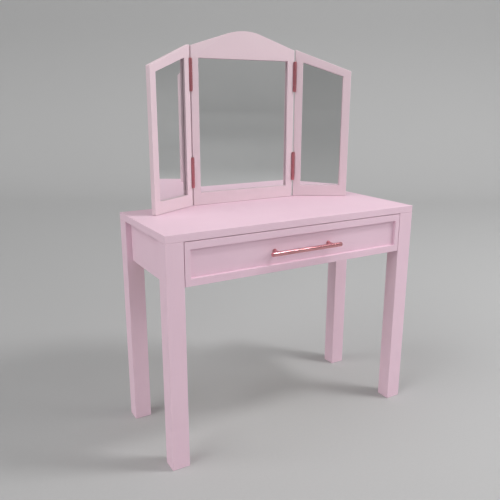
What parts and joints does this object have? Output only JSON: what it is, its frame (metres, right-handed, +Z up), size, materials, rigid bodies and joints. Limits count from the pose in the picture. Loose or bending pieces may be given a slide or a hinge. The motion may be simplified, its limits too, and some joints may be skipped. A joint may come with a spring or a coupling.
{
  "type": "dressing table",
  "caption": "Miniature pink dressing table: square-legged table with a shallow panelled drawer, bar handle, and a crowned three-panel mirror with folding wings.",
  "frame": {"origin": "on the floor, midway across the width and midway between the front of the handle and the screw heads at the back", "axes": "+X to the right seen from the front, -Y the front with the drawer, +Z up"},
  "size_m": [0.1576, 0.074, 0.2236],
  "materials": {
    "pink_paint": "satin pale pink paint on wood",
    "backing": "matt pale pink paint on thin board",
    "basswood": "bare pale basswood",
    "mirror": "silvered mirror",
    "rose_gold": "polished rose gold",
    "steel": "plain small screws"
  },
  "bodies": {
    "table": {"table_top": "pink_paint", "leg_front_left": "pink_paint", "leg_front_right": "pink_paint", "leg_back_left": "pink_paint", "leg_back_right": "pink_paint", "side_apron_left": "pink_paint", "side_apron_right": "pink_paint", "back_apron": "pink_paint", "front_rail": "pink_paint", "drawer_runner_left": "basswood", "drawer_runner_right": "basswood", "drawer_stop_left": "basswood", "drawer_stop_right": "basswood", "drawer_catch": "basswood", "centre_frame": "pink_paint", "centre_mirror": "mirror", "centre_back_board": "backing", "batten_left": "pink_paint", "batten_right": "pink_paint", "batten_screw_left_1": "steel", "batten_screw_left_2": "steel", "batten_screw_left_3": "steel", "batten_screw_left_4": "steel", "batten_screw_right_1": "steel", "batten_screw_right_2": "steel", "batten_screw_right_3": "steel", "batten_screw_right_4": "steel", "hinge_upper_left_fixed_leaf": "rose_gold", "hinge_lower_left_fixed_leaf": "rose_gold", "hinge_upper_right_fixed_leaf": "rose_gold", "hinge_lower_right_fixed_leaf": "rose_gold", "hinge_upper_left_pin": "rose_gold", "hinge_lower_left_pin": "rose_gold", "hinge_upper_right_pin": "rose_gold", "hinge_lower_right_pin": "rose_gold"},
    "drawer": {"drawer_front": "pink_paint", "drawer_side_left": "basswood", "drawer_side_right": "basswood", "drawer_back": "basswood", "drawer_bottom": "basswood", "handle_bar": "rose_gold", "handle_post_left": "rose_gold", "handle_post_right": "rose_gold", "handle_screw_left": "steel", "handle_screw_right": "steel"},
    "wing_left": {"wing_left_frame": "pink_paint", "wing_left_mirror": "mirror", "wing_left_back_board": "backing", "hinge_upper_left_wing_leaf": "rose_gold", "hinge_lower_left_wing_leaf": "rose_gold"},
    "wing_right": {"wing_right_frame": "pink_paint", "wing_right_mirror": "mirror", "wing_right_back_board": "backing", "hinge_upper_right_wing_leaf": "rose_gold", "hinge_lower_right_wing_leaf": "rose_gold"}
  },
  "joints": [
    {"name": "drawer_slide", "type": "slide", "parent": "table", "child": "drawer", "axis": [0, -1, 0], "range_m": [0, 0.042]},
    {"name": "wing_left_hinge", "type": "hinge", "parent": "table", "child": "wing_left", "pos_m": [-0.03505, 0.03121, 0.1718], "axis": [0, 0, 1], "range_deg": [-37, 150]},
    {"name": "wing_right_hinge", "type": "hinge", "parent": "table", "child": "wing_right", "pos_m": [0.03505, 0.03121, 0.1718], "axis": [0, 0, -1], "range_deg": [-37, 150]}
  ]
}
